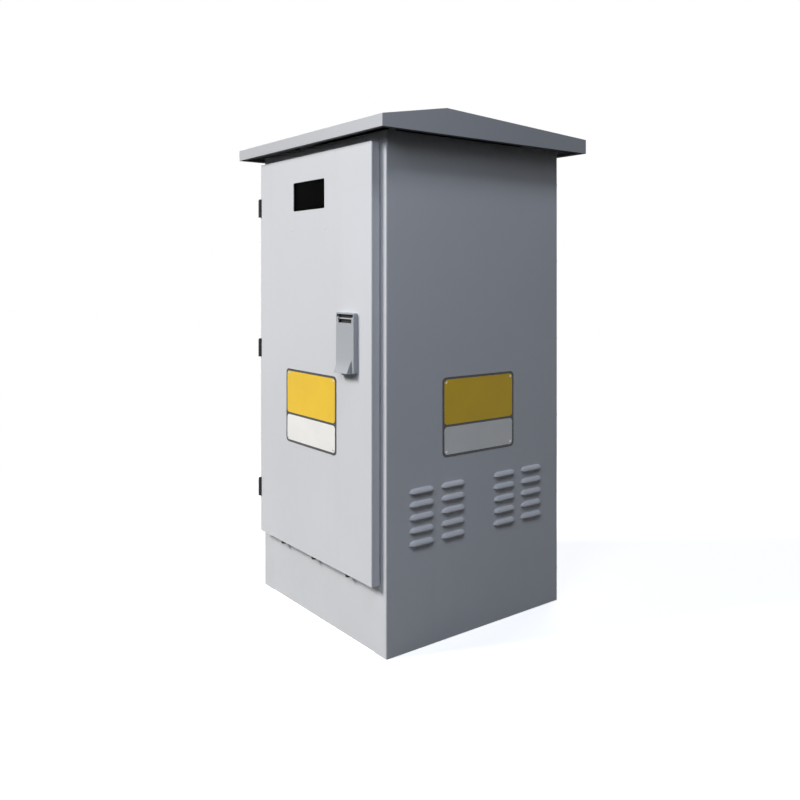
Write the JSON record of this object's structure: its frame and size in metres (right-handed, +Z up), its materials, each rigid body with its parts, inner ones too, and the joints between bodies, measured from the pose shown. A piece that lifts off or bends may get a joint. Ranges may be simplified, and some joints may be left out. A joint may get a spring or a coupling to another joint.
{
  "type": "roadside utility cabinet",
  "caption": "Free-standing outdoor steel electrical cabinet with an overhanging sloped roof, louvred sides, windowed hinged door, flap-covered rod lock and switchgear inside.",
  "frame": {"origin": "middle of the footprint at ground level, which is also the middle of the roof in plan", "axes": "+Z up, +X to the right as the door is faced, the door faces -Y"},
  "size_m": [0.714, 0.708, 1.315],
  "materials": {
    "paint": "light grey powder coat",
    "hinge_black": "black coat",
    "zinc": "zinc plated",
    "steel": "plain steel",
    "rubber": "matt black",
    "filter": "non-woven mat",
    "pane": "clear sheet",
    "black_plastic": "matt",
    "dark_plastic": "matt",
    "pale_plastic": "matt",
    "display": "glossy",
    "copper": "bare bar"
  },
  "bodies": {
    "cabinet": {"left_side_panel": "paint", "right_side_panel": "paint", "back_panel": "paint", "back_rivets": "paint", "plinth_panel": "paint", "header_rail": "paint", "top_plate": "paint", "roof": "paint", "roof_spacers": "zinc", "roof_bolts": "steel", "floor_plate": "zinc", "gland_plate": "zinc", "cable_glands": "dark_plastic", "gland_locknuts": "dark_plastic", "left_vent_filter": "filter", "right_vent_filter": "filter", "mounting_plate": "zinc", "plate_standoffs": "zinc", "plate_nuts": "steel", "meter_case": "pale_plastic", "meter_cover": "pale_plastic", "meter_display": "display", "main_breaker": "dark_plastic", "mounting_rails": "zinc", "branch_breakers": "pale_plastic", "terminal_strip": "pale_plastic", "earth_bar": "copper", "top_frame_leaf": "hinge_black", "top_hinge_pin": "hinge_black", "middle_frame_leaf": "hinge_black", "middle_hinge_pin": "hinge_black", "bottom_frame_leaf": "hinge_black", "bottom_hinge_pin": "hinge_black"},
    "door": {"door_panel": "paint", "door_stiffeners": "paint", "door_gasket": "rubber", "door_drains": "rubber", "window_seal": "rubber", "window_pane": "pane", "window_retainer": "zinc", "window_nuts": "steel", "lock_base": "paint", "flap_pad": "rubber", "flap_pin": "steel", "lock_barrel": "zinc", "lock_nut": "steel", "rod_guides": "black_plastic", "top_door_leaf": "hinge_black", "middle_door_leaf": "hinge_black", "bottom_door_leaf": "hinge_black"},
    "flap": {"lock_flap": "paint"},
    "cam": {"lock_plug": "steel", "lock_cam": "zinc", "cam_screw": "steel"},
    "upper_rod": {"upper_rod": "zinc"},
    "lower_rod": {"lower_rod": "zinc"},
    "main_toggle": {"main_toggle": "black_plastic"},
    "left_toggle": {"left_toggle": "black_plastic"},
    "right_toggle": {"right_toggle": "black_plastic"},
    "meter_button": {"meter_button": "black_plastic"}
  },
  "joints": [
    {"name": "door_hinge", "type": "hinge", "parent": "cabinet", "child": "door", "pos_m": [-0.277, -0.326, 0.7], "axis": [0, 0, -1], "range_deg": [0, 180]},
    {"name": "flap_hinge", "type": "hinge", "parent": "door", "child": "flap", "pos_m": [0.18, -0.3345, 0.8045], "axis": [-1, 0, 0], "range_deg": [0, 110]},
    {"name": "cam_turn", "type": "hinge", "parent": "door", "child": "cam", "pos_m": [0.18, -0.3, 0.745], "axis": [0, -1, 0], "range_deg": [0, 90]},
    {"name": "upper_rod_slide", "type": "slide", "parent": "door", "child": "upper_rod", "axis": [0, 0, 1], "range_m": [0, 0.02]},
    {"name": "lower_rod_slide", "type": "slide", "parent": "door", "child": "lower_rod", "axis": [0, 0, -1], "range_m": [0, 0.02]},
    {"name": "main_switch", "type": "hinge", "parent": "cabinet", "child": "main_toggle", "pos_m": [-0.12, 0.157, 0.8245], "axis": [-1, 0, 0], "range_deg": [0, 40]},
    {"name": "left_branch_switch", "type": "hinge", "parent": "cabinet", "child": "left_toggle", "pos_m": [-0.07, 0.1655, 0.612], "axis": [-1, 0, 0], "range_deg": [0, 40]},
    {"name": "right_branch_switch", "type": "hinge", "parent": "cabinet", "child": "right_toggle", "pos_m": [0.01, 0.1655, 0.612], "axis": [-1, 0, 0], "range_deg": [0, 40]},
    {"name": "meter_button_press", "type": "slide", "parent": "cabinet", "child": "meter_button", "axis": [0, 1, 0], "range_m": [0, 0.002], "stiffness_N_per_m": 200}
  ],
  "couplings": [
    {"joint": "upper_rod_slide", "follows": "cam_turn", "m_per_rad": 0.012604},
    {"joint": "lower_rod_slide", "follows": "cam_turn", "m_per_rad": 0.012604}
  ]
}
